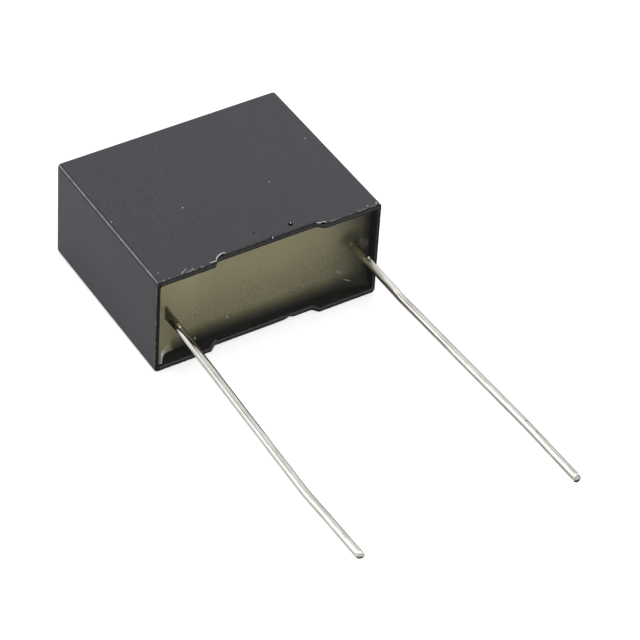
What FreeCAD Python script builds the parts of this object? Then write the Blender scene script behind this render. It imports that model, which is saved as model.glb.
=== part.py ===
import FreeCAD, Part
import math
import os

# Box film capacitor with two long wire leads, lying on one broad side.
# Millimetres. The origin is midway between the two leads, in the plane of the feet that meet
# the board. +X runs along the pair of leads, +Y goes into the case towards its closed end,
# and the leads leave along -Y. +Z is up, and the case lies on its lower broad side.

V = FreeCAD.Vector

# Case, one moulded box that is open at y = 0. Wall thicknesses are those at the mouth.
case_length = 17.8
case_depth = 14.35
case_thickness = 8.2
end_wall = 0.30
broad_wall = 0.50
closed_wall = 0.60
case_draft_deg = 0.35
cavity_draft_deg = 1.0
corner_radius = 0.30
crown_radius = 0.30
cavity_corner_radius = 0.35
cavity_floor_radius = 0.25

# Relief in the rim of both broad walls, which leaves a foot at each corner.
relief_length = 8.0
relief_depth = 0.43
relief_run = 0.55

# Cast resin that closes the mouth and fills the case round the roll.
rim_margin = 0.42
resin_climb = 0.60
resin_edge = 0.06
resin_corner_radius = 1.0
collar_radius = 0.50
collar_height = 0.60
collar_skin = 0.05
sheath_short = 1.90
sheath_long = 2.20
sheath_turn_deg = 225.0

# Leads, tinned wire. Each leaves the resin straight, then has a long run and a short last run,
# and each of those two leans outwards by its own angle.
lead_diameter = 0.60
lead_inset = 1.40
lead_bend_radius = 6.0
lead_tip_chamfer = 0.06
left_straight = 2.45
left_long_run = 17.2
left_long_lean_deg = 2.1
left_last_run = 6.6
left_last_lean_deg = -1.2
right_straight = 6.75
right_long_run = 14.6
right_long_lean_deg = 2.3
right_last_run = 5.7
right_last_lean_deg = 0.9

# Roll of film, its wrap, the sprayed ends and the solder.
resin_cover = 1.0
crown_gap = 0.40
roll_gap_above = 0.25
roll_gap_below = 0.65
wrap_thickness = 0.10
spray_thickness = 0.35
spray_edge_radius = 0.15
solder_film = 0.05
solder_start = 1.5
solder_length = 6.0
solder_width = 1.5
solder_rise = 0.50
solder_round = 0.18
lead_past_solder = 0.8

# Worked out from the values above.
lead_radius = lead_diameter / 2
lead_x = case_length / 2 - lead_inset
resin_edge_level = relief_depth + rim_margin
resin_level = resin_edge_level + resin_climb
cavity_floor = case_depth - closed_wall
spray_face = lead_x - lead_radius - solder_film
roll_half_length = spray_face - spray_thickness
wrap_start = resin_level + resin_cover
wrap_end = cavity_floor - crown_gap
case_taper = math.tan(math.radians(case_draft_deg))
cavity_taper = math.tan(math.radians(cavity_draft_deg))
cavity_half_thickness = case_thickness / 2 - broad_wall - cavity_taper * cavity_floor
wrap_top = cavity_half_thickness - roll_gap_above
wrap_bottom = -cavity_half_thickness + roll_gap_below
solder_near = wrap_start + solder_start
solder_far = solder_near + solder_length
lead_inner_end = solder_far + lead_past_solder
left_runs = ((left_long_run, left_long_lean_deg), (left_last_run, left_last_lean_deg))
right_runs = ((right_long_run, right_long_lean_deg), (right_last_run, right_last_lean_deg))

# How far a cutting shape stands past what it cuts, and how near two places count as the same.
clear = 1.0
same = 1e-4


def tapered_block(half_x, half_z, radius, taper, start, end):
    """Block with round long corners that narrows by taper from the mouth plane inwards."""
    near_x, near_z = half_x - taper * start, half_z - taper * start
    far_x, far_z = half_x - taper * end, half_z - taper * end
    block = Part.makeWedge(-near_x, start, -near_z, -far_z, -far_x,
                           near_x, end, near_z, far_z, far_x)
    long_edges = [edge for edge in block.Edges if edge.BoundBox.YLength > (end - start) / 2]
    return block.makeFillet(radius, long_edges)


def edges_at_depth(shape, y):
    """Edges of a shape that lie wholly in the plane at depth y."""
    found = []
    for edge in shape.Edges:
        box = edge.BoundBox
        if abs(box.YMin - y) < same and abs(box.YMax - y) < same:
            found.append(edge)
    return found


def make_cavity(mouth):
    """The hollow of the case, from the depth given as mouth to the cavity floor."""
    block = tapered_block(case_length / 2 - end_wall, case_thickness / 2 - broad_wall,
                          cavity_corner_radius, cavity_taper, mouth, cavity_floor)
    return block.makeFillet(cavity_floor_radius, edges_at_depth(block, cavity_floor))


def s_curve(start, end):
    """Two equal arcs from start to end, both ends running along X."""
    across = end.x - start.x
    rise = end.y - start.y
    radius = (across ** 2 + rise ** 2) / (4 * abs(rise))
    half_turn = math.atan2(abs(rise), abs(across))
    step_x = math.copysign(radius * math.sin(half_turn), across)
    step_y = math.copysign(radius * (1 - math.cos(half_turn)), rise)
    middle = (start + end) * 0.5
    first = Part.Arc(start, start + V(step_x, step_y, 0), middle).toShape()
    second = Part.Arc(middle, end - V(step_x, step_y, 0), end).toShape()
    return [first, second]


def make_case():
    """Moulded box: drafted shell, round crown, and the relief that leaves four corner feet."""
    block = tapered_block(case_length / 2, case_thickness / 2, corner_radius, case_taper,
                          0, case_depth)
    block = block.makeFillet(crown_radius, edges_at_depth(block, case_depth))
    shell = block.cut(make_cavity(-clear))
    deep = relief_length / 2
    wide = deep + relief_run
    low = -case_thickness
    outer_right = V(wide, 0, low)
    outer_left = V(-wide, 0, low)
    far_right = V(wide, -clear, low)
    far_left = V(-wide, -clear, low)
    inner_right = V(deep, relief_depth, low)
    inner_left = V(-deep, relief_depth, low)
    edges = [Part.LineSegment(far_left, far_right).toShape(),
             Part.LineSegment(far_right, outer_right).toShape()]
    edges += s_curve(outer_right, inner_right)
    edges.append(Part.LineSegment(inner_right, inner_left).toShape())
    edges += s_curve(inner_left, outer_left)
    edges.append(Part.LineSegment(outer_left, far_left).toShape())
    relief = Part.Face(Part.Wire(edges)).extrude(V(0, 0, 2 * case_thickness))
    return shell.cut(relief)


def lead_points(side, straight, runs):
    """Corners of one lead's centre line, from the resin out to its tip."""
    points = [V(side * lead_x, resin_level - straight, 0)]
    for length, lean_deg in runs:
        lean = math.radians(lean_deg)
        step = V(side * math.sin(lean), -math.cos(lean), 0)
        points.append(points[-1] + step * length)
    return points


def bent_path(points, radius):
    """Straight runs joined by tangent arcs of one radius. It ends with two runs in one line."""
    edges = []
    start = points[0]
    for before, corner, after in zip(points, points[1:-1], points[2:-1]):
        back = (before - corner).normalize()
        ahead = (after - corner).normalize()
        turn = math.pi - back.getAngle(ahead)
        reach = radius * math.tan(turn / 2)
        arc_start = corner + back * reach
        arc_end = corner + ahead * reach
        inward = (back + ahead).normalize()
        middle = corner + inward * (radius / math.cos(turn / 2) - radius)
        edges.append(Part.LineSegment(start, arc_start).toShape())
        edges.append(Part.Arc(arc_start, middle, arc_end).toShape())
        start = arc_end
    edges.append(Part.LineSegment(start, points[-2]).toShape())
    edges.append(Part.LineSegment(points[-2], points[-1]).toShape())
    return Part.Wire(edges)


def make_lead(side, straight, runs):
    """Round wire from its cut tip in to the feet plane, and on through the resin to the roll."""
    seat = V(side * lead_x, 0, 0)
    inner_end = V(side * lead_x, lead_inner_end, 0)
    points = lead_points(side, straight, runs)[::-1] + [seat, inner_end]
    tip = points[0]
    profile = Part.Wire([Part.Circle(tip, points[1] - tip, lead_radius).toShape()])
    wire = bent_path(points, lead_bend_radius).makePipeShell([profile], True, False)
    rim = [e for e in wire.Edges if (e.CenterOfMass - tip).Length < lead_radius / 2]
    return wire.makeChamfer(lead_tip_chamfer, rim)


def make_collar(side):
    """Resin drawn up round a lead: a hollow cone, then a thin sheath with a slanting end."""
    skin_radius = lead_radius + collar_skin
    root = -resin_climb
    bow = 0.30
    foot = V(collar_radius, 0, 0)
    neck = V(skin_radius, 0, collar_height)
    sag = V(skin_radius + bow * (collar_radius - skin_radius), 0, bow * collar_height)
    profile = [Part.LineSegment(V(0, 0, root), V(collar_radius, 0, root)).toShape(),
               Part.LineSegment(V(collar_radius, 0, root), foot).toShape(),
               Part.Arc(foot, sag, neck).toShape(),
               Part.LineSegment(neck, V(skin_radius, 0, sheath_long)).toShape(),
               Part.LineSegment(V(skin_radius, 0, sheath_long), V(0, 0, sheath_long)).toShape(),
               Part.LineSegment(V(0, 0, sheath_long), V(0, 0, root)).toShape()]
    collar = Part.Face(Part.Wire(profile)).revolve(V(0, 0, 0), V(0, 0, 1), 360)
    size = 4 * sheath_long
    lid = Part.makeBox(size, size, size, V(-size / 2, -size / 2, 0))
    slant = math.degrees(math.atan2(sheath_long - sheath_short, 2 * skin_radius))
    lid.rotate(V(0, 0, 0), V(0, 1, 0), -slant)
    lid.translate(V(0, 0, (sheath_long + sheath_short) / 2))
    lid.rotate(V(0, 0, 0), V(0, 0, 1), sheath_turn_deg)
    collar = collar.cut(lid)
    collar.rotate(V(0, 0, 0), V(1, 0, 0), 90)
    collar.translate(V(side * lead_x, resin_level, 0))
    return collar


def stadium(half_x, start, end, bottom, top):
    """Flattened roll: a block whose two long edges are full half rounds, lying along X."""
    radius = (top - bottom) / 2
    height = (top + bottom) / 2
    near = start + radius
    far = end - radius
    low = V(-half_x, 0, bottom)
    high = V(-half_x, 0, top)
    edges = [Part.LineSegment(low + V(0, near, 0), low + V(0, far, 0)).toShape(),
             Part.Arc(low + V(0, far, 0), V(-half_x, end, height), high + V(0, far, 0)).toShape(),
             Part.LineSegment(high + V(0, far, 0), high + V(0, near, 0)).toShape(),
             Part.Arc(high + V(0, near, 0), V(-half_x, start, height), low + V(0, near, 0)).toShape()]
    return Part.Face(Part.Wire(edges)).extrude(V(2 * half_x, 0, 0))


def make_roll():
    """Flattened roll of metallised film, inside its wrap."""
    t = wrap_thickness
    return stadium(roll_half_length, wrap_start + t, wrap_end - t, wrap_bottom + t, wrap_top - t)


def make_wrap(roll):
    """Turns of plain film wound over the roll."""
    outer = stadium(roll_half_length, wrap_start, wrap_end, wrap_bottom, wrap_top)
    return outer.cut(roll)


def make_spray(side):
    """Layer of sprayed metal on one end of the roll, with a rounded outer edge."""
    t = wrap_thickness
    layer = stadium(spray_thickness / 2, wrap_start + t, wrap_end - t,
                    wrap_bottom + t, wrap_top - t)
    outer = []
    for edge in layer.Edges:
        box = edge.BoundBox
        if box.XLength < same and abs(box.XMin - side * spray_thickness / 2) < same:
            outer.append(edge)
    layer = layer.makeFillet(spray_edge_radius, outer)
    layer.translate(V(side * (roll_half_length + spray_thickness / 2), 0, 0))
    return layer


def make_solder(side, lead):
    """Bead of solder that holds a lead against the sprayed end."""
    bead = Part.makeBox(solder_rise, solder_length, solder_width,
                        V(0, solder_near, -solder_width / 2))
    outer = [e for e in bead.Edges if e.BoundBox.XMin > solder_rise - same]
    bead = bead.makeFillet(solder_round, outer)
    if side < 0:
        bead = bead.mirror(V(0, 0, 0), V(1, 0, 0))
    bead.translate(V(side * spray_face, 0, 0))
    return bead.cut(lead)


def make_resin(inner_pieces, leads):
    """Cast resin: the case's hollow up to the rim, dished on top, round all that it holds."""
    resin = make_cavity(resin_edge_level)
    half_x = case_length / 2 - end_wall - resin_edge
    half_z = case_thickness / 2 - broad_wall - resin_edge
    dish = tapered_block(half_x, half_z, resin_corner_radius, cavity_taper, -clear, resin_level)
    dish = dish.makeFillet(resin_climb, edges_at_depth(dish, resin_level))
    resin = resin.cut(dish)
    resin = resin.fuse(make_collar(-1))
    resin = resin.fuse(make_collar(1))
    for piece in inner_pieces + leads:
        resin = resin.cut(piece)
    return resin


def save(name, shape):
    """Write one node, after a look at its soundness."""
    solids = shape.Solids
    print(name, "solids", len(solids), "volume", round(shape.Volume, 3), "valid", shape.isValid())
    body = solids[0] if len(solids) == 1 else shape
    body.exportStep(os.path.join("parts", name + ".step"))


def main():
    os.makedirs("parts", exist_ok=True)
    lead_left = make_lead(-1, left_straight, left_runs)
    lead_right = make_lead(1, right_straight, right_runs)
    roll = make_roll()
    wrap = make_wrap(roll)
    spray_left = make_spray(-1)
    spray_right = make_spray(1)
    solder_left = make_solder(-1, lead_left)
    solder_right = make_solder(1, lead_right)
    inner = [roll, wrap, spray_left, spray_right, solder_left, solder_right]
    save("case", make_case())
    save("resin_fill", make_resin(inner, [lead_left, lead_right]))
    save("film_roll", roll)
    save("outer_wrap", wrap)
    save("end_spray_left", spray_left)
    save("end_spray_right", spray_right)
    save("solder_bead_left", solder_left)
    save("solder_bead_right", solder_right)
    save("lead_left", lead_left)
    save("lead_right", lead_right)


main()
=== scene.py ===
# %% [markdown]
# # A box film capacitor, dressed for the camera
# The part is a small plastic box, closed with resin, with two long wire leads. The frame that is
# loaded first holds its construction at real size. Each piece that shows gets its looks here:
# the moulded shell with its broken rim, the resin with its raised edge, and the tinned wires.
# Everything below is worked out in millimetres and made metres when a piece is finished.

# %% Load the frame
import math

import bmesh
import bpy
from mathutils import Matrix, Quaternion, Vector, noise


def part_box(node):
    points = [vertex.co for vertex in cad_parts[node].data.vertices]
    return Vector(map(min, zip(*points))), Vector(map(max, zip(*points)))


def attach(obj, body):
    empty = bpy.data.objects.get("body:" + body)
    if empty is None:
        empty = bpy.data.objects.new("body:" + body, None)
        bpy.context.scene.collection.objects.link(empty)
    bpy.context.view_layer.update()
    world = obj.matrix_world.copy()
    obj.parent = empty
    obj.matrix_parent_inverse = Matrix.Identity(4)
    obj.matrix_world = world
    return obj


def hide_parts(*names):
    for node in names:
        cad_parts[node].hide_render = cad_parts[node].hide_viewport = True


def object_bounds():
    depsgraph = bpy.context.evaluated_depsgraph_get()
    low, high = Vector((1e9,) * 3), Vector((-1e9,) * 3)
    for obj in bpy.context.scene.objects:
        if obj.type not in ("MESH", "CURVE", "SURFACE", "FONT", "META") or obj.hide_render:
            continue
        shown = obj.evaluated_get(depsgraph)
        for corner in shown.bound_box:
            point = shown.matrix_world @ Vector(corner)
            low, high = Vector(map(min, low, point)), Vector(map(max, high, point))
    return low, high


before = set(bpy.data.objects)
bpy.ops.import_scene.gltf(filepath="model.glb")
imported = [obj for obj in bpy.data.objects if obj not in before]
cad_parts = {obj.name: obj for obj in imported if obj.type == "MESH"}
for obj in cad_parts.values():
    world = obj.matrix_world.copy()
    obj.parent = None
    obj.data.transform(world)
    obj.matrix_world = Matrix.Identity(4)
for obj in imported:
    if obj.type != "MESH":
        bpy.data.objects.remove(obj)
cad_low, cad_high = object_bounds()
MM = 0.001
print("box of the frame, mm:", [round(v / MM, 2) for v in (*cad_low, *cad_high)])

# %% [markdown]
# ## Sizes
# A dressed piece has to stay where its solid is, so the outer sizes are read from the frame. Only
# what a box can't tell, such as a wall or a radius, is named again. The four steps of the rim and
# the inner corners are a tenth or two off those in the construction, as in the real part.

# %% Sizes of the box, the rim and the wires
case_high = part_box("case")[1] / MM
half_length = case_high.x
half_thickness = case_high.z
case_depth = case_high.y
end_wall = 0.3
broad_wall = 0.5
closed_wall = 0.6
case_taper = math.tan(math.radians(0.35))
cavity_taper = math.tan(math.radians(1.0))
corner_radius = 0.3
crown_radius = 0.3
cavity_corner_radius = 0.2

relief_depth = 0.43
# Middle of each step of the rim, and how long each one is, by its side in x and in z.
step_middle = 4.14
step_runs = {(-1, -1): 0.72, (-1, 1): 0.58, (1, 1): 0.7, (1, -1): 0.5}

resin_level = 1.45

lead_x = 7.5
lead_radius = 0.3
print("case, mm:", round(2 * half_length, 2), round(case_depth, 2), round(2 * half_thickness, 2))

# %% [markdown]
# ## Small helpers
# A mesh in millimetres has to be made metres, named and hung on the body of the part. One function
# does this for every piece, so that none is forgotten. Another one makes a tube: a ring of edges
# is extruded from station to station, which is how a wire is drawn.

# %% Finish a piece, and draw a tube
def clamp(value):
    """Keep a value within 0 and 1."""
    return min(max(value, 0.0), 1.0)


def add_object(name, data):
    """Put data into the scene as an object."""
    made = bpy.data.objects.new(name, data)
    bpy.context.scene.collection.objects.link(made)
    return made


def finish_piece(bm, name, materials, stands_for=None, crease_deg=35):
    """Turn a bmesh in millimetres into a smooth piece of the part."""
    bmesh.ops.recalc_face_normals(bm, faces=bm.faces)
    bmesh.ops.scale(bm, vec=(MM, MM, MM), verts=bm.verts)
    mesh = bpy.data.meshes.new(name)
    bm.to_mesh(mesh)
    bm.free()
    for face in mesh.polygons:
        face.use_smooth = True
    mesh.set_sharp_from_angle(angle=math.radians(crease_deg))
    for material in materials:
        mesh.materials.append(material)
    piece = add_object(name, mesh)
    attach(piece, "root")
    if stands_for:
        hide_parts(stands_for)
    print(name, "faces:", len(mesh.polygons))


def edges_of(verts):
    """The edges that meet at some vertices, each one once."""
    return list({edge for vert in verts for edge in vert.link_edges})


def extrude_ring(bm, edges):
    """Extrude a ring of edges. Gives the new vertices and the new ring of edges."""
    made = bmesh.ops.extrude_edge_only(bm, edges=edges)["geom"]
    verts = [item for item in made if isinstance(item, bmesh.types.BMVert)]
    edges = [item for item in made if isinstance(item, bmesh.types.BMEdge)]
    return verts, [edge for edge in edges if set(edge.verts) <= set(verts)]


def resize_point(x, z, before, after):
    """Slide a point of one rounded rectangle (half x, half z, radius) onto another one."""
    over_x, over_z = abs(x) - before[0] + before[2], abs(z) - before[1] + before[2]
    centre_x, centre_z = after[0] - after[2], after[1] - after[2]
    if over_x > -0.005 and over_z > -0.005:
        angle = math.atan2(max(over_z, 0), max(over_x, 0))
        new_x = centre_x + after[2] * math.cos(angle)
        new_z = centre_z + after[2] * math.sin(angle)
    elif over_z > 0:
        new_x, new_z = min(abs(x), centre_x), after[1]
    else:
        new_x, new_z = after[0], min(abs(z), centre_z)
    return math.copysign(new_x, x), math.copysign(new_z, z)


def make_station(points, index, up, half_width, half_height):
    """A matrix that lays a ring of this size across a line of points, at one of them."""
    before, after = points[max(index - 1, 0)], points[min(index + 1, len(points) - 1)]
    turn = (after - before).normalized().to_track_quat("Z", up).to_matrix().to_4x4()
    return (Matrix.Translation(points[index]) @ turn
            @ Matrix.Diagonal((half_width, half_height, 1, 1)))


def draw_tube(bm, stations, sides):
    """Draw a closed tube of unit radius through a list of station matrices."""
    first = bmesh.ops.create_circle(bm, segments=sides, radius=1, matrix=stations[0])["verts"]
    ring = edges_of(first)
    start = ring
    for before, after in zip(stations, stations[1:]):
        verts, ring = extrude_ring(bm, ring)
        bmesh.ops.transform(bm, matrix=after @ before.inverted(), verts=verts)
    bmesh.ops.edgeloop_fill(bm, edges=start)
    bmesh.ops.edgeloop_fill(bm, edges=ring)

# %% [markdown]
# ## Materials
# A moulded black box isn't one flat colour. Its outer faces have a fine satin grain from the
# mould, a slow drift in tone, and round edges painted lighter, partly as wear where parts rub
# together and partly as a painted highlight, with a painted dark line beside them. A node tree on
# Object coordinates gives all of this at real scale, and it stays in place from any side.

# %% Node helpers
class Look:
    """The node tree of one finish. Most methods add a step to it and give that step's output."""

    def __init__(self, owner, shader="Principled BSDF", coordinates="Object"):
        """Start a new material from its name, or the tree of a world."""
        if isinstance(owner, str):
            owner = bpy.data.materials.new(owner)
        owner.use_nodes = True
        self.owner = owner
        self.nodes, self.links = owner.node_tree.nodes, owner.node_tree.links
        self.shader = self.nodes[shader]
        self.place = self.nodes.new("ShaderNodeTexCoord").outputs[coordinates]
        in_mm = self.node("VectorMath", {0: self.place, "Scale": 1 / MM}, operation="SCALE")
        split = self.node("SeparateXYZ", {"Vector": in_mm.outputs["Vector"]})
        self.x, self.y, self.z = split.outputs

    def feed(self, socket, value):
        """Link an output to a socket, or set a plain value on it."""
        if isinstance(value, bpy.types.NodeSocket):
            self.links.new(value, socket)
        else:
            socket.default_value = (*value, 1) if socket.type == "RGBA" else value

    def node(self, kind, inputs, **settings):
        """Add a node, set it up and feed its sockets."""
        node = self.nodes.new("ShaderNode" + kind)
        for name, value in settings.items():
            setattr(node, name, value)
        for name, value in inputs.items():
            self.feed(node.inputs[name], value)
        return node

    def finish(self, colour, rough, metallic=0.0, gloss=0.5, **more):
        """Feed the shader's sockets, and give the material."""
        self.feed_shader(Base_Color=colour, Roughness=rough, Metallic=metallic,
                         Specular_IOR_Level=gloss, **more)
        return self.owner

    def feed_shader(self, **inputs):
        """Feed sockets of the shader by their names, with _ for a space."""
        for name, value in inputs.items():
            self.feed(self.shader.inputs[name.replace("_", " ")], value)

    def noise(self, size_mm, detail=4.0, rough=0.55, stretch=(1, 1, 1)):
        """Noise with features of about size_mm, from 0 to 1."""
        place = self.node("Mapping", {"Vector": self.place, "Scale": stretch}).outputs["Vector"]
        return self.node("TexNoise", {"Vector": place, "Scale": 1 / (size_mm * MM),
                                      "Detail": detail, "Roughness": rough}).outputs["Fac"]

    def ramp(self, value, low, high, to_low=0.0, to_high=1.0, kind="SMOOTHSTEP"):
        """Map a value from low..high to to_low..to_high, with smooth ends."""
        return self.node("MapRange", {"Value": value, "From Min": low, "From Max": high,
                                      "To Min": to_low, "To Max": to_high},
                         interpolation_type=kind).outputs["Result"]

    def spread(self, noise, to_low=0.0, to_high=1.0, kind="SMOOTHSTEP"):
        """Map a noise, which lies within 0.3 to 0.7 for the most part, to to_low..to_high."""
        return self.ramp(noise, 0.3, 0.7, to_low, to_high, kind)

    def math(self, operation, *values):
        """A sum on one or two values, each a number or an output."""
        return self.node("Math", dict(enumerate(values)), operation=operation).outputs["Value"]

    def times(self, first, second):
        """The product of two values."""
        return self.math("MULTIPLY", first, second)

    def mix(self, factor, first, second):
        """Mix two colours, each a plain colour or an output."""
        return self.node("Mix", {"Factor": factor, "A": first, "B": second},
                         data_type="RGBA").outputs["Result"]

    def patch(self, centre_mm, half_mm, turn_deg=0.0, soft=0.4):
        """A mask that is 1 in the middle of an ellipsoid, turned about Y, and 0 outside it."""
        place = self.node("Mapping", {"Vector": self.place,
                                      "Location": [value * MM for value in centre_mm],
                                      "Rotation": (0, math.radians(turn_deg), 0),
                                      "Scale": [value * MM for value in half_mm]},
                          vector_type="TEXTURE").outputs["Vector"]
        far = self.node("VectorMath", {0: place}, operation="LENGTH").outputs["Value"]
        return self.ramp(far, 1.0, soft)

    def mark(self, colour, centre_mm, half_mm, share, tone, turn_deg=0.0, soft=0.4):
        """Lay a share of another tone over a colour, inside a patch."""
        patch = self.patch(centre_mm, half_mm, turn_deg, soft)
        return self.mix(self.times(patch, share), colour, tone)

    def bump(self, height, depth_mm, strength=1.0):
        """Raise the surface by a height output, depth_mm high at most."""
        bump = self.node("Bump", {"Height": height, "Distance": depth_mm * MM,
                                  "Strength": strength})
        self.feed_shader(Normal=bump.outputs["Normal"])


def make_two_tones(name, first, second, pattern, rough, sway=0.0, bump_mm=0.0, low=0.3, **shine):
    """A finish in two tones. Pattern is what noise() takes, and says where each one shows."""
    look = Look(name)
    where = look.noise(*pattern)
    if bump_mm:
        look.bump(where, bump_mm, 0.8)
    if sway:
        rough = look.spread(where, rough - sway, rough + sway)
    return look.finish(look.mix(look.ramp(where, low, 0.7), first, second), rough, **shine)


# %% Plastic of the case
def make_case_plastic():
    """Black plastic with a satin grain, and round edges painted lighter, as wear and as a painted
    highlight.
    """
    look = Look("case_plastic_grained")
    drift, grain = look.noise(9.0, 2.0), look.noise(0.1, 2.0, 0.8)
    tone = look.mix(look.spread(drift), (0.012, 0.0145, 0.024), (0.0215, 0.0235, 0.0325))
    tone = look.mix(look.ramp(look.x, 0.0, 9.0, 0.0, 0.7), tone, (0.03, 0.031, 0.04))
    tone = look.mix(look.spread(grain, 0.0, 0.9, "LINEAR"), tone, (0.064, 0.065, 0.071))
    # The middle of each round edge is painted light, partly as wear and partly as a painted
    # highlight, and a painted dark line beside it stands for the reflection in the gloss.
    draft = look.times(look.y, case_taper)
    side = look.math("ADD", look.math("ABSOLUTE", look.x), draft)
    up = look.math("ADD", look.math("ABSOLUTE", look.z), draft)
    edges = []
    for start, end in ((0.17, 0.08), (0.3, 0.19)):  # mm in from the outside
        near_side, near_up, near_end = (
            look.ramp(value, size - start, size - end)
            for value, size in ((side, half_length), (up, half_thickness), (look.y, case_depth)))
        edges.append(look.times(look.math("MAXIMUM", near_side, near_end), near_up))
    worn_and_highlit_edge, painted_dark_line = edges
    tone = look.mix(look.times(painted_dark_line, 0.6), tone, (0.006, 0.006, 0.008))
    uneven = look.spread(look.noise(0.8), 0.55, 1.0)
    colour = look.mix(look.times(worn_and_highlit_edge, uneven), tone, (0.34, 0.34, 0.345))
    look.bump(grain, 0.012, 0.6)
    return look.finish(colour, look.spread(grain, 0.44, 0.54), gloss=0.4)


def make_broken_edge():
    """The edge where the moulding was broken off its flash: ragged, with painted highlights, in
    places almost white.
    """
    look = Look("case_plastic_broken_edge")
    bits = look.noise(0.3, 5.0, 0.8)
    across = look.math("ABSOLUTE", look.x)
    feet = look.ramp(across, 4.4, 4.8, 0.08, 0.85)
    upper = look.ramp(look.z, 3.3, 3.9, 0.2, 1.0)
    to_step = look.math("ABSOLUTE", look.math("SUBTRACT", across, step_middle))
    step_highlights = look.times(look.ramp(to_step, 0.25, 0.45, 1.0, 0.0), look.ramp(look.x, 0.0, -1.0))
    share = look.math("MAXIMUM", look.times(feet, upper), step_highlights)
    share = look.math("MAXIMUM", share, look.ramp(look.x, -8.7, -8.8, 0.0, 0.65))
    # The pale places are painted highlights, mostly on the feet of the upper rim, at the left
    # steps and along the left end.
    light = look.times(look.ramp(bits, 0.44, 0.66), share)
    look.bump(bits, 0.03)
    return look.finish(look.mix(light, (0.014, 0.014, 0.016), (0.26, 0.26, 0.26)), 0.35)


def make_rim_plastic():
    """The rim's face: mottled grey, painted shade along both edges, a painted highlight, darker at
    the left.
    """
    look = Look("case_plastic_rim")
    bits = look.noise(0.12, 3.0, 0.8)
    wobble = look.spread(look.noise(0.35), -0.04, 0.04, "LINEAR")
    side, up = look.math("ABSOLUTE", look.x), look.math("ABSOLUTE", look.z)
    to_outside = look.math("MINIMUM", look.math("SUBTRACT", half_length, side),
                           look.math("SUBTRACT", half_thickness, up))
    to_inside = look.math("MAXIMUM", look.math("SUBTRACT", side, half_length - end_wall),
                          look.math("SUBTRACT", up, half_thickness - broad_wall))
    to_outside, to_inside = (look.math("ADD", gap, wobble) for gap in (to_outside, to_inside))
    face = look.mix(look.spread(bits), (0.022, 0.021, 0.022), (0.06, 0.058, 0.061))
    # A thin painted highlight runs along the inner edge of the lower rim.
    line = look.times(look.ramp(to_inside, 0.07, 0.13), look.ramp(to_inside, 0.22, 0.14))
    line = look.times(line, look.ramp(look.z, -3.4, -3.7, 0.0, 0.6))
    face = look.mix(line, face, (0.13, 0.128, 0.13))
    patchy = look.mix(look.ramp(bits, 0.55, 0.75), (0.008, 0.007, 0.008), (0.11, 0.105, 0.105))
    face = look.mix(look.ramp(look.x, -8.45, -8.6, 0.0, 0.8), face, patchy)
    # Painted shade along both edges of the rim.
    black = look.math("MAXIMUM", look.ramp(to_outside, 0.2, 0.12),
                      look.ramp(to_inside, 0.1, 0.04))
    look.bump(bits, 0.03, 0.8)
    return look.finish(look.mix(black, face, (0.005, 0.005, 0.005)), 0.42, gloss=0.1)


# The slots of the shell after its plain plastic, 0. The inner walls have no grain, but fine lines.
RIM, BROKEN, INSIDE = 1, 2, 3
shell_finishes = [make_case_plastic(), make_rim_plastic(), make_broken_edge(),
                  make_two_tones("case_plastic_inside", (0.019, 0.019, 0.018),
                                 (0.032, 0.032, 0.03), (0.25, 4.0, 0.7, (0.35, 1, 1)), 0.42,
                                 bump_mm=0.03, low=0.35, gloss=0.1)]

# %% [markdown]
# ## The moulded shell
# The real shell is shot into a steel mould, with sides that lean in a little so that it lets go.
# It could be carved with booleans, but they leave thin triangles that spoil a smooth finish. So a
# cube is sized, leaned in and bevelled, and its rim is extruded inwards to make the walls.

# %% Outside of the shell
def round_off(bm, geom, radius, segments, affect="EDGES"):
    """Bevel edges, or corners of a flat outline, to a radius."""
    bmesh.ops.bevel(bm, geom=geom, offset=radius, segments=segments, affect=affect, profile=0.5,
                    material=-1)


def cut_across(bm, places, axis):
    """Add a line of vertices right round the mesh at each place along an axis."""
    for place in places:
        everything = bm.verts[:] + bm.edges[:] + bm.faces[:]
        bmesh.ops.bisect_plane(bm, geom=everything, plane_co=axis * place, plane_no=axis,
                               dist=1e-5)


def relief(x, z):
    """How far the rim of a broad wall is set back at x: a smooth step leads into each end."""
    run = step_runs[(1 if x > 0 else -1, 1 if z > 0 else -1)]
    share = clamp((step_middle + run / 2 - abs(x)) / run)
    return relief_depth * (1 - math.cos(math.pi * share)) / 2


def set_back(x, z, broad_from):
    """The relief where a broad wall's rim starts at broad_from in z. An end wall has none."""
    return relief(x, z) if abs(z) > broad_from else 0.0


def ragged(x, z, size_mm, seed):
    """Seeded unevenness from -1 to 1 at a place on the rim."""
    return noise.noise(Vector((x / size_mm, z / size_mm, seed)))


# A step of the relief needs close columns, the long stretches only enough to look uneven. The
# rows near the mouth hold the chips, the last one the round of the crown.
step_columns = [step_middle + 0.05 * (i - 8) for i in range(17)]
foot_columns = [step_middle + 0.42 + 0.17 * i for i in range(1, 23)]
middle_columns = [-3.64 + 0.13 * i for i in range(57)]
columns = [side * x for side in (-1, 1) for x in step_columns + foot_columns] + middle_columns
columns += [side * (half_length - corner_radius - 0.08) for side in (-1, 1)]
rows = [0.085, 0.62, 1.2, case_depth - crown_radius - 0.1]
levels = [-3.7, 3.7] + [-3.5 + 0.35 * i for i in range(21)]

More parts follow.
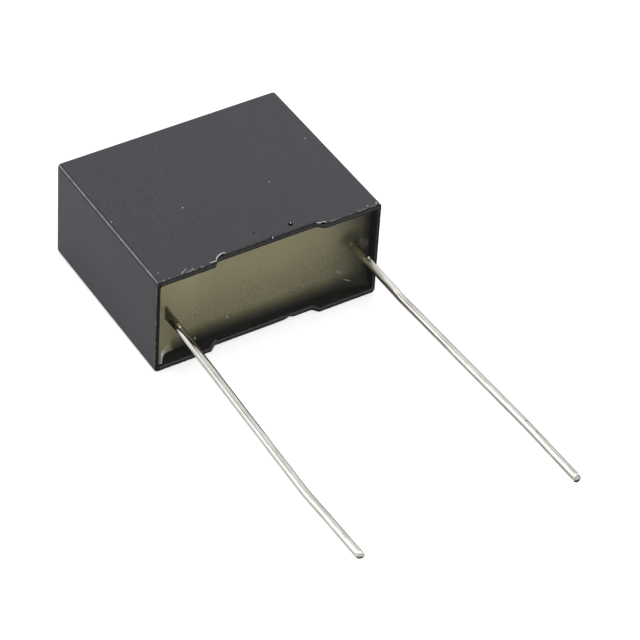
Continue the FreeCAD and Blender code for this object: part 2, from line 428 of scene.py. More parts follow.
shell = bmesh.new()
bmesh.ops.create_cube(shell, size=1)
bmesh.ops.scale(shell, vec=(2 * half_length, case_depth, 2 * half_thickness), verts=shell.verts)
bmesh.ops.translate(shell, vec=(0, case_depth / 2, 0), verts=shell.verts)
far = [v for v in shell.verts if v.co.y > case_depth / 2]
lean = case_taper * case_depth
bmesh.ops.scale(shell, vec=(1 - lean / half_length, 1, 1 - lean / half_thickness), verts=far)
round_off(shell, [e for e in shell.edges if abs(e.verts[0].co.y - e.verts[1].co.y) > 1],
          corner_radius, 6)
round_off(shell, [e for e in shell.edges if min(v.co.y for v in e.verts) > case_depth - 0.01],
          crown_radius, 6)
mouth = [f for f in shell.faces if max(v.co.y for v in f.verts) < 0.01]
bmesh.ops.delete(shell, geom=mouth, context="FACES_ONLY")
cut_across(shell, sorted(columns), Vector((1, 0, 0)))
cut_across(shell, rows, Vector((0, 1, 0)))
cut_across(shell, levels, Vector((0, 0, 1)))
print("shell vertices:", len(shell.verts))

# %% [markdown]
# ## The broken rim
# The rim isn't clean: it is set back between four feet, and where the mould parted it has small
# chips and curls of flash. For this the vertices nearest the mouth are moved, and a chip takes
# the outer edge back by about a tenth of a millimetre.

# %% Set the rim back, chip it and make the walls
# Chips of the outer edge: middle x, half width, depth, and 1 for the upper rim, -1 for the lower.
chips = [(-3.62, 0.38, 0.17, 1), (-4.5, 0.42, 0.1, 1), (-6.75, 0.25, 0.14, 1),
         (-6.15, 0.2, 0.07, 1), (4.22, 0.3, 0.16, 1), (3.8, 0.18, 0.06, 1),
         (0.33, 0.08, 0.05, 1), (-5.45, 0.3, 0.05, 1), (2.16, 0.24, 0.13, -1)]
nick_start, nick_top, nick_end, nick_height = 1.7, 2.16, 2.4, 0.13
mouth_reach = 0.6
broken_reach = 0.3
inner_x = half_length - end_wall
inner_z = half_thickness - broad_wall
corner_z = half_thickness - corner_radius


def chip_depth(x, z):
    """How far a chip takes the outer edge back at x."""
    total = 0.0
    for middle, width, depth, side in chips:
        if side * z > 0 and abs(x - middle) < width:
            total = max(total, depth * math.cos(math.pi * (x - middle) / (2 * width)))
    return total


def nick(x):
    """Height of the small nick in the lower outer edge."""
    if nick_start < x <= nick_top:
        return nick_height * (x - nick_start) / (nick_top - nick_start)
    if nick_top < x < nick_end:
        return nick_height * (1 - 0.6 * (x - nick_top) / (nick_end - nick_top))
    return 0.0


# Numbers here are mm: a middle value, and how far ragged() leads off it to both sides.
for vert in shell.verts:
    if vert.co.y > mouth_reach:
        continue
    x, z = vert.co.x, vert.co.z
    at_rim = vert.co.y < 0.01
    vert.co.y += set_back(x, z, corner_z) + chip_depth(x, z)
    if at_rim:
        vert.co.y += 0.035 + 0.015 * ragged(x, z, 0.3, 3.0)
        fray = 0.018 + 0.016 * ragged(x, z, 0.22, 7.0)
        if abs(z) > corner_z:
            vert.co.z -= math.copysign(fray, z)
            if z < 0:
                vert.co.z += nick(x)
        else:
            vert.co.x -= math.copysign(0.6 * fray, x)
    else:
        vert.co.y += 0.02 * ragged(x, z, 0.3, 5.0)


def wall_at(y):
    """The outline of the inner walls at depth y."""
    lean = cavity_taper * y
    return inner_x - lean, inner_z - lean, cavity_corner_radius


outside = (half_length, half_thickness, corner_radius)
outer_rim = [e for e in shell.edges if e.is_boundary]
edge_verts, edge_ring = extrude_ring(shell, outer_rim)
for vert in edge_verts:
    x, z = vert.co.x, vert.co.z
    new_x, new_z = resize_point(x, z, outside, wall_at(0))
    part = 0.09 + 0.04 * ragged(x, z, 0.25, 2.0)
    back = set_back(x, z, corner_z) + 0.45 * chip_depth(x, z)
    vert.co = (x + (new_x - x) * part, back, z + (new_z - z) * part)
rim_verts, rim_ring = extrude_ring(shell, edge_ring)
for vert in rim_verts:
    x, z = vert.co.x, vert.co.z
    new_x, new_z = resize_point(x, z, outside, wall_at(0))
    back = set_back(x, z, inner_z + 0.1) + 0.015 * (1 + ragged(new_x, new_z, 0.3, 9.0))
    vert.co = (new_x, back, new_z)
wall_verts, wall_ring = extrude_ring(shell, rim_ring)
cavity_floor = case_depth - closed_wall
for vert in wall_verts:
    new_x, new_z = resize_point(vert.co.x, vert.co.z, wall_at(0), wall_at(cavity_floor))
    vert.co = (new_x, cavity_floor, new_z)
bmesh.ops.edgeloop_fill(shell, edges=wall_ring)

fresh_edge, fresh_rim, fresh_wall = set(edge_verts), set(rim_verts), set(wall_verts)
for face in shell.faces:
    corners = set(face.verts)
    depth = max(v.co.y - set_back(v.co.x, v.co.z, corner_z - 0.05) for v in face.verts)
    if corners & fresh_wall:
        face.material_index = INSIDE
    elif corners & fresh_rim:
        face.material_index = RIM
    elif corners & fresh_edge or depth < broken_reach:
        face.material_index = BROKEN
bmesh.ops.dissolve_degenerate(shell, dist=1e-5, edges=shell.edges)
finish_piece(shell, "case_shell", shell_finishes, "case")

# %% [markdown]
# ## The resin
# With the roll in it, the case is filled with liquid resin. This creeps up the walls and up both
# wires before it sets, and the dished surface is what catches the light. How far it has crept
# falls off with the distance from what it clings to, so one formula gives the whole surface. A
# flat sheet with two round holes is cut into a close grid and then bent to it.

# %% Shape of the surface
resin_tilt = 0.02
least_depth = 0.12
# How far the resin has risen at a wall or a wire, and the distance in which that falls off.
wall_rise, left_rise, right_rise, wall_creep = 0.6, 0.65, 0.5, 0.42
wire_rise, wire_creep = 0.22, 0.14
corner_rise, corner_wide, corner_high = 0.85, 0.62, 0.8
web_rise, web_start, web_run = 0.7, 0.15, 0.4
web_top, web_bottom = 0.45, 0.16


def resin_depth(x, z):
    """Depth of the resin's surface at x and z: a dish that climbs the walls and the wires."""
    rise = 0.0
    for gap, most in ((inner_z + z, wall_rise), (inner_z - z, wall_rise),
                      (inner_x + x, left_rise), (inner_x - x, right_rise)):
        rise += most * math.exp(-max(gap, 0.0) / wall_creep)
    for side in (-1, 1):
        gap = math.hypot(x - side * lead_x, z) - lead_radius
        rise += wire_rise * math.exp(-max(gap, 0.0) / wire_creep)
    # In the lower left corner it has crept up almost to the rim.
    corner = ((x + inner_x) / corner_wide) ** 2 + ((z + inner_z) / corner_high) ** 2
    rise += corner_rise * math.exp(-corner)
    # The narrow gap between the left wire and the wall has drawn up a web of resin.
    across = clamp((-lead_x + web_start - x) / web_run)
    spread = web_top if z > 0 else web_bottom
    rise += web_rise * across * math.exp(-(z / spread) ** 2)
    return max(resin_level - resin_tilt * x - rise, least_depth)


lay = Matrix.Rotation(math.radians(90), 4, "X")


def start_outline(bm, half_x, half_z, radius, segments):
    """A rounded rectangle of edges at y = 0, from a square with bevelled corners."""
    spin = Matrix.Rotation(math.radians(45), 4, "Z")
    square = bmesh.ops.create_circle(bm, segments=4, radius=math.sqrt(2), cap_ends=True,
                                     matrix=lay @ spin)["verts"]
    bmesh.ops.scale(bm, vec=(half_x, 1, half_z), verts=square)
    round_off(bm, square, radius, segments, "VERTICES")
    bmesh.ops.delete(bm, geom=bm.faces[:], context="FACES_ONLY")
    return bm.edges[:]


foot_radius, skin_radius = 0.95, 0.325
resin = bmesh.new()
sheet_rim = start_outline(resin, *wall_at(0), 8)
for side in (-1, 1):
    circle = bmesh.ops.create_circle(resin, segments=56, radius=foot_radius,
                                     matrix=Matrix.Translation((side * lead_x, 0, 0)) @ lay)
    sheet_rim += edges_of(circle["verts"])
bmesh.ops.triangle_fill(resin, use_beauty=True, edges=sheet_rim, normal=(0, -1, 0))
near_wall = [0.05, 0.12, 0.21, 0.33, 0.48, 0.68, 0.95, 1.3, 1.8]
for inner, start, step, count, axis in ((inner_x, -6.3, 0.7, 19, (1, 0, 0)),
                                        (inner_z, -1.4, 0.35, 9, (0, 0, 1))):
    cut_across(resin, [side * (inner - gap) for side in (-1, 1) for gap in near_wall]
               + [start + step * i for i in range(count)], Vector(axis))
bmesh.ops.remove_doubles(resin, verts=resin.verts, dist=1e-4)


def split_rings(edges, reach):
    """Sort open edges: those within reach of the left wire, of the right wire, and the rest."""
    rings = ([], [], [])
    for edge in edges:
        place = (edge.verts[0].co + edge.verts[1].co) / 2
        near = math.hypot(abs(place.x) - lead_x, place.z) < reach
        rings[(0 if place.x < 0 else 1) if near else 2].append(edge)
    return rings


*feet, outline_ring = split_rings([e for e in resin.edges if e.is_boundary], foot_radius + 0.01)
for vert in resin.verts:
    vert.co.y = resin_depth(vert.co.x, vert.co.z)
for vert in {vert for edge in outline_ring for vert in edge.verts}:
    # The edge goes a hair into the wall, so that no light comes through between them.
    half_x, half_z, radius = wall_at(vert.co.y)
    vert.co.x, vert.co.z = resize_point(vert.co.x, vert.co.z, wall_at(0),
                                        (half_x + 0.008, half_z + 0.008, radius))
print("faces of the sheet:", len(resin.faces), "rings:", len(outline_ring),
      [len(ring) for ring in feet])

# %% [markdown]
# ## Skins on the wires
# From each hole the sheet goes on in rings, closer and closer to the wire. Then a thin clear skin
# of resin runs out along the wire, ends on a slant, and turns back down the bore.

# %% Rings round the wires
bore_radius = lead_radius + 0.002
joint_depth = 1.9
skin_short, skin_long = -0.45, -0.75
skin_turn = math.radians(225)
foot_rings, skin_rings, crowding = 12, 6, 1.6
thinning = 0.02


def skin_end(angle):
    """Where the skin on a wire ends, in y, at an angle round the wire."""
    return skin_short + (skin_long - skin_short) * (1 + math.cos(angle - skin_turn)) / 2


skin_faces = []
bores = []
for side, ring in zip((-1, 1), feet):
    # Each ring has a radius, a share of the way out to the skin's end, and a fixed y or none.
    rings = [(skin_radius + (foot_radius - skin_radius) * (1 - i / foot_rings) ** crowding,
              0.0, None) for i in range(1, foot_rings + 1)]
    rings += [(skin_radius - thinning * i / skin_rings, i / skin_rings, None)
              for i in range(1, skin_rings + 1)]
    rings += [(bore_radius, 1.002, None), (bore_radius, 0.0, 1.2),
              (bore_radius, 0.0, joint_depth)]
    for radius, share, fixed in rings:
        verts, ring = extrude_ring(resin, ring)
        for vert in verts:
            angle = math.atan2(vert.co.z, vert.co.x - side * lead_x)
            x, z = side * lead_x + radius * math.cos(angle), radius * math.sin(angle)
            root = resin_depth(x, z)
            y = fixed if fixed else root + (skin_end(angle) - root) * share
            vert.co = (x, y, z)
        if share > 0:
            fresh = set(verts)
            skin_faces += [f for f in resin.faces if len(set(f.verts) & fresh) == 2]
    bores.append(ring)
for face in skin_faces:
    face.material_index = 1
print("faces of the resin so far:", len(resin.faces))

# %% [markdown]
# ## Down to the hidden resin
# What lies deeper is already right in the construction: the resin runs down the walls and round
# the roll. A copy of that solid is merged, its top is cut off, and its open edges are bridged to
# the new surface. This keeps the piece closed, and as heavy as the real one.

# %% Join the skin to a copy of the solid
depth_ring_verts, depth_ring = extrude_ring(resin, outline_ring)
for vert in depth_ring_verts:
    half_x, half_z, radius = wall_at(joint_depth)
    x, z = resize_point(vert.co.x, vert.co.z, wall_at(vert.co.y),
                        (half_x + 0.0005, half_z + 0.0005, radius))
    vert.co = (x, joint_depth - 0.05, z)
skin_edges = set(resin.edges)
solid = bmesh.new()
solid.from_mesh(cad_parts["resin_fill"].data)
bmesh.ops.scale(solid, vec=(1 / MM, 1 / MM, 1 / MM), verts=solid.verts)
bmesh.ops.remove_doubles(solid, verts=solid.verts, dist=1e-4)
bmesh.ops.bisect_plane(solid, geom=solid.verts[:] + solid.edges[:] + solid.faces[:],
                       plane_co=(0, joint_depth, 0), plane_no=(0, 1, 0), dist=1e-5,
                       clear_inner=True)
holder = bpy.data.meshes.new("resin_solid_cut")
solid.to_mesh(holder)
solid.free()
resin.from_mesh(holder)
bpy.data.meshes.remove(holder)
open_edges = [e for e in resin.edges if e.is_boundary and e not in skin_edges]
*deep_rings, deep_outline = split_rings(open_edges, 0.5)
print("open rings of the solid:", [len(r) for r in deep_rings], len(deep_outline))
for first, second in zip(bores, deep_rings):
    bmesh.ops.bridge_loops(resin, edges=first + second)
bmesh.ops.bridge_loops(resin, edges=depth_ring + deep_outline)
print("edges still open:", sum(e.is_boundary for e in resin.edges))

# %% [markdown]
# ## Colour of the resin
# Set epoxy is glossy and slightly clear. It looks olive where light gets into it, and almost black
# towards the lower and right walls, where it only shows the dark case behind it. Both are laid
# out on the object's own X and Z, so they stay on the resin.

# %% Resin materials
# Marks on the resin, some of them painted shade, highlights and reflections as noted: middle x and
# z, half x and z, turn about Y, strength, colour.
resin_marks = (
    (7.05, -1.85, 1.1, 1.3, 0, 0.45, (0.18, 0.17, 0.115)),
    (-8.0, -2.5, 1.5, 2.0, 0, 0.9, (0.32, 0.302, 0.195)),
    (-8.25, -3.5, 0.75, 0.6, 0, 0.7, (0.215, 0.213, 0.165)),
    # Painted shade in the upper right corner.
    (8.1, 3.7, 2.8, 2.1, 0, 0.75, (0.03, 0.03, 0.026)),
    # A painted reflection beside the right wall.
    (8.4, -0.02, 0.7, 0.62, 0, 0.8, (0.105, 0.11, 0.092)),
    # Painted light on a facet of the web by the left wire, a painted dark line below it and a
    # painted highlight on it.
    (-8.15, 0.25, 0.5, 0.55, 0, 0.6, (0.34, 0.35, 0.28)),
    (-8.1, -0.35, 0.6, 0.04, -12, 0.6, (0.15, 0.14, 0.1)),
    (-8.16, 0.42, 0.06, 0.09, 0, 1.0, (0.8, 0.8, 0.76)),
    # A painted highlight along the lower left corner of the resin; its brighter part follows
    # below.
    (-7.4, -3.42, 0.46, 0.12, -25, 0.6, (0.42, 0.42, 0.39)),
    # Two painted highlights on the resin near the lower right.
    (6.6, -2.29, 0.48, 0.17, 40, 0.8, (0.24, 0.23, 0.195)),
    (7.2, -3.13, 0.42, 0.05, 26, 0.9, (0.33, 0.29, 0.26)),
    (-8.58, -3.0, 0.28, 0.9, 0, 0.6, (0.12, 0.125, 0.085)),
    # The brighter part of the painted highlight in the lower left corner.
    (-7.98, -3.52, 0.58, 0.17, -8, 0.95, (0.68, 0.68, 0.65)),
    (-2.37, -2.8, 0.08, 0.08, 0, 1.0, (0.5, 0.49, 0.43)),
    (-5.07, -3.44, 0.08, 0.08, 0, 1.0, (0.4, 0.39, 0.33)),
    # A painted highlight in the painted reflection by the right wall.
    (8.14, 0.21, 0.08, 0.08, 0, 1.0, (0.22, 0.24, 0.23)),
    (-4.9, -1.67, 0.11, 0.11, 0, 0.7, (0.06, 0.055, 0.035)),
    (-1.2, 0.01, 0.09, 0.09, 0, 0.6, (0.07, 0.065, 0.04)))


def make_resin_material():
    """Olive resin that falls off to near black along the lower and the right wall."""
    look = Look("resin_olive")
    cloud, grain = look.noise(3.5, 2.0), look.noise(0.1, 2.0, 0.8)
    upper = look.ramp(look.z, -2.5, 3.0)
    olive = look.mix(upper, (0.167, 0.153, 0.09), (0.292, 0.271, 0.159))
    bright = look.mix(upper, (0.217, 0.199, 0.117), (0.38, 0.352, 0.207))
    # Towards the left end the lit olive is painted lighter: painted light.
    lit = look.mix(look.ramp(look.x, -3.2, -6.2), olive, bright)
    lit = look.mix(look.spread(cloud, 0.0, 0.25), lit, (0.24, 0.226, 0.139))
    lit = look.mix(look.spread(grain, -0.3, 0.62), lit, (0.33, 0.312, 0.205))
    # How much of the lit resin is left: less towards the lower wall, which the left end escapes,
    # less towards the right wall, and less in painted shade round the root of the right wire.
    lift = look.math("ADD", look.ramp(look.x, -4.8, -6.8, 0.0, 0.25, "LINEAR"),
                     look.ramp(look.x, -6.75, -7.3, 0.0, 1.3))
    share = look.ramp(look.math("ADD", look.z, lift), -2.28, -3.64, 1.0, 0.0)
    for start, end, least in ((4.9, 9.8, 0.0), (1.5, 5.0, 0.88), (8.1, 8.55, 0.1)):
        share = look.times(share, look.ramp(look.x, start, end, 1.0, least))
    # Painted shade round the root of the right wire.
    ring = look.patch((7.4, 1.3, 0.55), (1.5, 1.7, 1.3), soft=0.0)
    share = look.times(share, look.ramp(ring, 0.0, 1.0, 1.0, 0.45))
    dark = look.mix(look.ramp(look.x, 6.0, 7.8), (0.0115, 0.0115, 0.0105), (0.024, 0.025, 0.021))
    colour = look.mix(share, dark, lit)
    for x, z, half_x, half_z, turn, strength, tone in resin_marks:
        # A broad mark fades out slowly, a small one has a clear edge.
        soft = 0.0 if half_x > 0.45 and half_z > 0.3 else 0.4
        colour = look.mark(colour, (x, 1.0, z), (half_x, 3.0, half_z), strength, tone, turn, soft)
    look.bump(grain, 0.006, 0.5)
    return look.finish(colour, look.spread(cloud, 0.3, 0.38), gloss=0.08)


def make_skin_material():
    """The skin on a wire is thin and clear; its tones are painted reflections, with painted shade
    on the right wire.
    """
    look = Look("resin_clear_skin")
    streak = look.ramp(look.noise(0.12, 3.0, 0.6, (1, 0.05, 1)), 0.35, 0.7)
    # Painted reflections: dark on the left wire, olive on the right one.
    left = look.mix(streak, (0.24, 0.235, 0.2), (0.07, 0.068, 0.058))
    right = look.mix(streak, (0.47, 0.43, 0.31), (0.32, 0.29, 0.21))
    colour = look.mix(look.ramp(look.x, -1.0, 1.0), left, right)
    # Painted shade on the upper side of the right wire's skin.
    shade = look.patch((7.77, 0.3, 0.17), (0.16, 1.8, 0.17), soft=0.5)
    look.bump(streak, 0.004, 0.4)
    return look.finish(look.mix(shade, colour, (0.02, 0.018, 0.012)), 0.1, 0.9)


finish_piece(resin, "resin_surface", [make_resin_material(), make_skin_material()],
             "resin_fill", 40)

# %% [markdown]
# ## The wires
# Each lead is hard copper wire under a coat of tin. It was bent twice by a few degrees when the
# part was packed, and it is never quite straight. A curve with bevel would do, but a ring drawn
# along stations lets the wire waver a little and keeps its cut end.

# %% Line of a wire
bend_radius = 6.0
inner_end = 10.75
waver_most, waver_length = 0.012, 2.2
loose_from, loose_run = -2.0, 4.0


def wire_corners(side, straight, runs):
    """Corners of a wire from its inner end to its tip, as in the construction."""
    points = [Vector((side * lead_x, inner_end, 0)),
              Vector((side * lead_x, resin_level - straight, 0))]
    for length, lean_deg in runs:
        lean = math.radians(lean_deg)
        points.append(points[-1] + Vector((side * math.sin(lean), -math.cos(lean), 0)) * length)
    return points


def wire_line(corners, step):
    """Points along a wire, a step apart, that turn each corner on a short smooth bend."""
    line = []
    start = corners[0]
    for index in range(1, len(corners)):
        corner = corners[index]
        back = (corners[index - 1] - corner).normalized()
        last = index == len(corners) - 1
        ahead = None if last else (corners[index + 1] - corner).normalized()
        reach = 0.0 if last else bend_radius * math.tan((math.pi - back.angle(ahead)) / 2)
        end = corner + back * reach
        count = max(2, round((end - start).length / step))
        line += [start.lerp(end, i / count) for i in range(count)]
        if last:
            line.append(end)
        else:
            start = corner + ahead * reach
            line += [end.lerp(corner, t).lerp(corner.lerp(start, t), t) for t in (0, 0.33, 0.67)]
    return line


def along(seed, y, size_mm, layer):
    """Seeded unevenness from -1 to 1 along a wire."""
    return noise.noise(Vector((seed, y / size_mm, layer)))


def make_wire_stations(line, seed):
    """A matrix for each station: its place, its direction and its slightly uneven radius."""
    stations = []
    for index, point in enumerate(line):
        y = point.y
        waver = Vector((along(seed, y, waver_length, 0.0), 0, along(seed, y, waver_length, 4.0)))
        waver *= waver_most * clamp((loose_from - y) / loose_run)
        radius = lead_radius - 0.004 + 0.003 * along(seed, y, 0.5, 8.0)
        stations.append(Matrix.Translation(waver) @ make_station(line, index, "X", radius, radius))
    return stations

# %% [markdown]
# ## Tin
# Tin on a drawn wire is bright but not a mirror: it keeps faint lines along the wire from the die,
# and dull spots where it was handled. The lines come from noise that is stretched along Y. Bands
# and patches of painted reflection lie on it as well.

# %% Tinned wire material
# Darker places on the tin, the first two painted reflections and the last two real marks: middle,
# half size, strength and colour.
dull_spots_and_painted_reflections = (((-7.34, -2.2, 0.2), (0.26, 3.2, 0.28), 0.45, (0.2, 0.27, 0.45)),
               ((7.2, -2.6, -0.05), (0.22, 4.5, 0.3), 0.6, (0.2, 0.17, 0.12)),
               ((8.08, -19.72, 0.27), (0.12, 0.1, 0.12), 0.8, (0.1, 0.06, 0.04)),
               ((8.12, -20.93, 0.28), (0.05, 0.32, 0.12), 0.6, (0.2, 0.17, 0.15)))


def make_tin(name, bright, dull):
    """Tin with drawn lines along the wire, a few dull spots and painted reflections."""
    look = Look(name)
    lines = look.noise(0.1, 3.0, 0.6, (1, 0.02, 1))
    spots = look.noise(0.6, 4.0, 0.6, (1, 0.4, 1))
    colour = look.mix(look.ramp(spots, 0.35, 0.7), bright, dull)
    for place in dull_spots_and_painted_reflections:
        colour = look.mark(colour, *place)
    # Just outside the rim the right wire is made less metallic, so that the painted reflection
    # there shows as colour.
    matt = look.patch((7.47, -2.9, 0.3), (0.31, 2.3, 0.31))
    look.bump(lines, 0.006, 0.6)
    return look.finish(colour, look.spread(spots, 0.07, 0.15),
                       look.ramp(matt, 0.0, 1.0, 1.0, 0.25), Specular_Tint=(0.3, 0.27, 0.23))


def make_cut_tin():
    """The sheared end: grey, dragged across, with bare copper brown on its lower side."""
    look = Look("tin_cut_end")
    drag = look.noise(0.08, 3.0, 0.6, (1, 1, 0.1))
    colour = look.mix(look.spread(drag), (0.5, 0.48, 0.45), (0.8, 0.78, 0.73))
    colour = look.mix(look.ramp(look.z, -0.02, -0.09), colour, (0.085, 0.05, 0.03))
    look.bump(drag, 0.03, 0.8)
    return look.finish(colour, 0.42, 0.5)


# The slots of a wire, in the order of its finishes. COPPER is where the cut took off the tin. The
# last three are painted reflections.
TIN, CUT, COPPER, DARK_REFLECTION, GREY_REFLECTION, TAN_REFLECTION = range(6)
tin_finishes = [make_tin("tin_drawn", (0.9, 0.89, 0.86), (0.74, 0.72, 0.68)),
                make_cut_tin(),
                make_two_tones("copper_sheared_rim", (0.03, 0.018, 0.012),
                               (0.12, 0.07, 0.045), (0.15, 3.0, 0.6), 0.5, bump_mm=0.02),
                make_tin("tin_painted_dark_reflection", (0.5, 0.48, 0.44), (0.39, 0.37, 0.33)),
                make_tin("tin_painted_grey_reflection", (0.71, 0.705, 0.68), (0.55, 0.545, 0.52)),
                make_tin("tin_painted_tan_reflection", (0.54, 0.49, 0.4), (0.42, 0.37, 0.29))]
# Bands of painted reflection along the wires, by which way a face looks: from and to, in degrees
# round the wire, and a finish.
bands = {"left": ((24, 62, DARK_REFLECTION), (62, 116, GREY_REFLECTION), (116, 126, TAN_REFLECTION), (178, 190, GREY_REFLECTION)),
         "right": ((62, 114, GREY_REFLECTION), (114, 124, TAN_REFLECTION), (142, 170, GREY_REFLECTION), (170, 190, DARK_REFLECTION))}
# Where the tin is bare of resin, where the right wire's bands start, and where both have turned.
bare_from, right_from, turned_from = -0.8, -5.0, -13.0


def wire_finish(face, name):
    """Which finish a face of a wire has, from the way it faces and from its place. Bands are
    painted reflections.
    """
    normal, centre = face.normal, face.calc_center_median()
    angle = math.degrees(math.atan2(normal.z, normal.x)) % 360
    if centre.y > bare_from or abs(normal.y) > 0.5:
        return TIN
    # Near the box the right wire has just one thin band of painted reflection.
    if name == "right" and centre.y > right_from - 1.5 * max(normal.x, 0.0):
        return GREY_REFLECTION if 112 <= angle < 122 else TIN
    angle += 12 * clamp((turned_from - centre.y) / 4) + 5 * along(len(name), centre.y, 2.0, 1.0)
    for start, end, finish in bands[name]:
        ends_early = finish == DARK_REFLECTION and start < 90
        if start <= angle < end and not (ends_early and centre.y < turned_from):
            return finish
    return TIN


tip_chamfer, tip_narrowing, tip_further = 0.06, 0.8, 0.03
# Each wire: its side, how long it is straight, the length and lean of what follows, and what its
# cut end gains in Y for each millimetre in X and in Z.
wires = {"left": (-1, 2.45, ((17.2, 2.1), (6.6, -1.2)), (-0.36, 0.1)),
         "right": (1, 6.75, ((14.6, 2.3), (5.7, 0.9)), (-0.1, 0.35))}
for name, (side, straight, runs, (lean_x, lean_z)) in wires.items():
    line = wire_line(wire_corners(side, straight, runs), 0.25)
    wire = bmesh.new()
    stations = make_wire_stations(line, 3.0 + side)
    stations.append(stations[-1] @ Matrix.Diagonal((tip_narrowing, tip_narrowing, 1, 1)))
    stations[-2] = stations[-2] @ Matrix.Translation((0, 0, -tip_chamfer))
    draw_tube(wire, stations, 48)
    end_face = min((f for f in wire.faces if len(f.verts) > 4),
                   key=lambda f: f.calc_center_median().y)
    centre = end_face.calc_center_median()
    for vert in wire.verts:
        if vert.co.y < centre.y + 0.1:
            offset = vert.co - centre
            vert.co.y += lean_x * offset.x + lean_z * offset.z - tip_further
    bmesh.ops.recalc_face_normals(wire, faces=wire.faces)
    for face in wire.faces:
        face.material_index = wire_finish(face, name)
    for edge in end_face.edges:
        for face in edge.link_faces:
            if face.normal.z < -0.05:
                face.material_index = COPPER
    rim = bmesh.ops.inset_region(wire, faces=[end_face], thickness=0.045, depth=0.012)["faces"]
    for face in rim:
        at_top_left = name == "left" and face.calc_center_median().z > centre.z
        face.material_index = CUT if at_top_left else COPPER
    end_face.material_index = CUT
    finish_piece(wire, "wire_" + name, tin_finishes, "lead_" + name, 40)

# %% [markdown]
# ## Small bits
# A part that has been handled isn't clean. Curls of flash hang on the rim, pale partly as a
# painted highlight, and grains lie on the top, one of them a painted highlight on a black bead. A
# bead of resin, painted white as a highlight, marks where the skin on a wire ends, and grey strips
# along a step are painted highlights. Each bit is sunk half into what carries it, so it also holds
# from the side.

# %% Curls, grains and beads
def add_grain(bm, place, radius, flat=0.7):
    """A grain, a little flattened along Z."""
    matrix = Matrix.Translation(place) @ Matrix.Diagonal((1, 1, flat, 1))
    bmesh.ops.create_icosphere(bm, subdivisions=2, radius=radius, matrix=matrix)


def add_curl(bm, points, widths, thickness):
    """A thin strip through points, as wide as widths says and thinner than wide."""
    draw_tube(bm, [make_station(points, index, "Y", width, thickness)
                   for index, width in enumerate(widths)], 8)


def add_bits(name, finish, curls, grains=()):
    """One piece of curls and grains, each given as what add_curl or add_grain takes."""
    title, colour, rough, gloss = finish
    dull = [value * 0.6 for value in colour]
    material = make_two_tones(title, colour, dull, (0.08, 3.0, 0.6), rough, gloss=gloss)
    bm = bmesh.new()
    for curl in curls:
        add_curl(bm, *curl)
    for grain in grains:
        add_grain(bm, *grain)
    finish_piece(bm, name, [material])


def on_top(x, y, lift=0.0):
    """A point on the upper broad side."""
    return Vector((x, y, half_thickness - case_taper * y + lift))


# Each curl of flash: the x and y of its points, and its half width at each.
flash_curls = (
    (((-4.77, 0.14), (-4.28, 0.11), (-4.03, 0.4), (-3.69, 0.57), (-3.38, 0.62), (-3.32, 0.49)),
     (0.015, 0.03, 0.04, 0.045, 0.04, 0.025)),
    (((-6.96, 0.14), (-6.74, 0.2), (-6.54, 0.34), (-6.5, 0.2)),
     (0.01, 0.014, 0.018, 0.014)),
    (((3.81, 0.33), (3.91, 0.23), (4.05, 0.19), (4.2, 0.21), (4.33, 0.21), (4.39, 0.05)),
     (0.01, 0.022, 0.03, 0.024, 0.045, 0.015)))
# Pale grains on the upper side: x, y and radius.
pale_grains = ((-3.5, 6.03, 0.05), (3.21, 5.66, 0.04), (7.88, 8.56, 0.04), (-8.52, 6.99, 0.05),
               (-6.57, 7.09, 0.017), (-5.73, 6.64, 0.017), (0.33, 0.39, 0.09),
               (8.54, 0.19, 0.07), (7.83, 0.18, 0.05), (-6.08, 0.19, 0.04), (-8.32, 0.87, 0.04))
# Curls pale partly as a painted highlight, pale dust grains, and a painted highlight on the black
# bead.
add_bits("case_flash", ("case_flash_pale_and_highlight", (0.78, 0.78, 0.76), 0.4, 0.5),
         [([on_top(x, y, 0.01) for x, y in line], widths, 0.03) for line, widths in flash_curls],
         [(on_top(x, y), radius) for x, y, radius in pale_grains]
         + [(on_top(2.15, 1.03, 0.12), 0.055)])
add_bits("case_dark_grains", ("grain_black", (0.003, 0.003, 0.003), 0.6, 0.0),
         [([on_top(3.98, 0.12), on_top(4.15, 0.1), on_top(4.34, 0.06)],
           (0.04, 0.06, 0.04), 0.02)],
         [(on_top(2.16, 1.06), 0.16, 0.8), (on_top(0.34, 0.43), 0.14, 0.4),
          (on_top(-3.55, 0.46), 0.08, 0.4), (on_top(-0.53, 1.45), 0.06, 0.5)])
add_bits("case_red_marks", ("dirt_red", (0.13, 0.04, 0.04), 0.6, 0.5),
         [([on_top(-0.545, 1.36), on_top(-0.56, 1.1), on_top(-0.6, 0.82)],
           (0.02, 0.035, 0.03), 0.012)],
         [(Vector((-1.4, 0.445, 3.92)), 0.04), (Vector((-1.18, 0.445, 3.92)), 0.03)])
# Thin grey strips of painted highlight along the lower left step, on the face of its rim and along
# the inner edge.
lower_step = ((-4.46, 0.05), (-4.34, 0.12), (-4.2, 0.2), (-4.08, 0.3), (-3.9, 0.4),
              (-3.72, 0.43))
add_bits("case_step_highlight_strips", ("case_step_painted_highlight", (0.3, 0.3, 0.3), 0.4, 0.5),
         [([Vector((x, y + lift, z)) for x, y in lower_step], (0.006, *[width] * 4, 0.006), 0.02)
          for z, width, lift in ((-3.93, 0.022, 0.0), (-inner_z, 0.016, 0.04))])
# Beads at the ends of the skins, painted white as highlights.
add_bits("resin_beads", ("resin_bead_painted_highlight", (0.85, 0.85, 0.8), 0.15, 0.5), (),
         [(Vector((-7.55, -0.9, 0.31)), 0.085, 0.9), (Vector((7.555, -0.84, 0.31)), 0.09, 0.9)])

# %% [markdown]
# ## What is inside
# The roll, its wrap, the sprayed ends and the solder are closed in and don't show. They keep the
# shape of their solids, and each gets the finish of the real thing, for whoever opens the part.

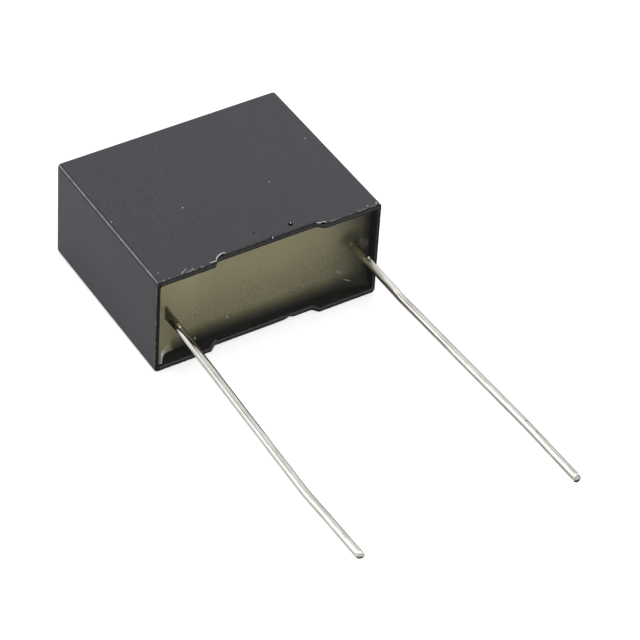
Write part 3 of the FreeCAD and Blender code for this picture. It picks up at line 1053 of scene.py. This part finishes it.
# %% Finishes of the inner pieces
# How the names of the solids start, then the finish: its name and two tones, size and stretch of
# its pattern, shares of metal and roughness, and bump in mm.
inner_finishes = (
    ("film_roll", "film_metallised_turns", (0.42, 0.43, 0.45), (0.62, 0.63, 0.65), 0.05,
     (0.02, 1, 1), 0.8, 0.3, 0.01),
    ("outer_wrap", "film_plain_wrap", (0.55, 0.53, 0.46), (0.7, 0.68, 0.6), 0.6, (0.2, 1, 1),
     0.0, 0.22, 0.01),
    ("end_spray", "zinc_sprayed", (0.22, 0.22, 0.23), (0.42, 0.42, 0.43), 0.12, (1, 1, 1),
     0.7, 0.62, 0.06),
    ("solder_bead", "solder_set", (0.5, 0.5, 0.5), (0.68, 0.67, 0.65), 0.5, (1, 1, 1), 0.9, 0.3,
     0.03))
for stem, title, dark, light, size, stretch, metallic, rough, bump in inner_finishes:
    material = make_two_tones(title, dark, light, (size, 4.0, 0.6, stretch), rough, 0.06, bump,
                              metallic=metallic)
    for name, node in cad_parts.items():
        if name.startswith(stem):
            node.data.materials.clear()
            node.data.materials.append(material)
print("finishes inside:", len(inner_finishes))

# %% [markdown]
# ## Floor, light and camera
# The part lies on a plain white table, a large sheet at the height of its lower broad side. To the
# camera the floor adds a little light of its own, so that it reads white, but it still takes the
# part's soft shadow. The lamps are large and plain, as in a light tent.

# %% Floor
def make_floor_material():
    """White that keeps shadows, and looks white to the camera."""
    look = Look("floor_white")
    seen = look.node("LightPath", {}).outputs["Is Camera Ray"]
    return look.finish((0.86, 0.86, 0.86), 0.8, gloss=0.0, Emission_Color=(1, 1, 1),
                       Emission_Strength=look.times(seen, 0.5))


floor_bm = bmesh.new()
bmesh.ops.create_grid(floor_bm, x_segments=1, y_segments=1, size=2.0)
bmesh.ops.translate(floor_bm, vec=(0, 0, cad_low.z), verts=floor_bm.verts)
floor_mesh = bpy.data.meshes.new("floor")
floor_bm.to_mesh(floor_mesh)
floor_bm.free()
floor_mesh.materials.append(make_floor_material())
add_object("floor", floor_mesh)

# %% World
world = bpy.data.worlds.new("light_tent")
bpy.context.scene.world = world
tent = Look(world, "Background", "Generated")
ray = tent.node("LightPath", {}).outputs
seen = tent.math("MAXIMUM", ray["Is Camera Ray"], ray["Is Glossy Ray"])
seen = tent.math("MAXIMUM", seen, ray["Is Transmission Ray"])
height = tent.node("SeparateXYZ", {"Vector": tent.place}).outputs["Z"]
dim = 0.62
dome = tent.math("MAXIMUM", tent.ramp(height, -0.05, 0.5, dim, 1.0), ray["Is Camera Ray"])
rest = tent.times(tent.math("SUBTRACT", 1.0, seen), dim)
tent.feed_shader(Color=(1, 1, 1), Strength=tent.math("ADD", tent.times(seen, dome), rest))

# %% Lamps
def aim(thing, place_mm, point_mm, roll_deg=0.0):
    """Put a lamp or a camera at a place, aim it at a point and roll it."""
    look_along = Vector(point_mm) - Vector(place_mm)
    thing.location = Vector(place_mm) * MM
    thing.rotation_mode = "QUATERNION"
    thing.rotation_quaternion = (look_along.to_track_quat("-Z", "Y")
                                 @ Quaternion((0, 0, 1), math.radians(roll_deg)))


# Large square lamps: place, point they are aimed at, size in mm and watts.
for name, place, point, size, watts in (
        ("lamp_top", (-60, 40, 300), (0, 0, 0), 220, 0.28),
        ("lamp_front", (-40, -280, 200), (0, -4, 0), 180, 0.12),
        ("lamp_left", (-300, 200, 160), (0, 5, 0), 120, 0.09)):
    lamp = bpy.data.lights.new(name, "AREA")
    lamp.size = size * MM
    lamp.energy = watts
    aim(add_object(name, lamp), place, point)

# %% Camera
camera_data = bpy.data.cameras.new("camera")
camera_data.lens = 199.85
camera_data.sensor_width = 36.0
camera_data.shift_x = 0.00648
camera_data.shift_y = 0.00142
camera_data.clip_start = 0.01
camera_data.clip_end = 10.0
camera = add_object("camera", camera_data)
aim(camera, (-99.512, -153.616, 161.399), (0.71, -5.0, 0.61), 3.97)
bpy.context.scene.camera = camera
bpy.context.scene.view_settings.view_transform = "Standard"
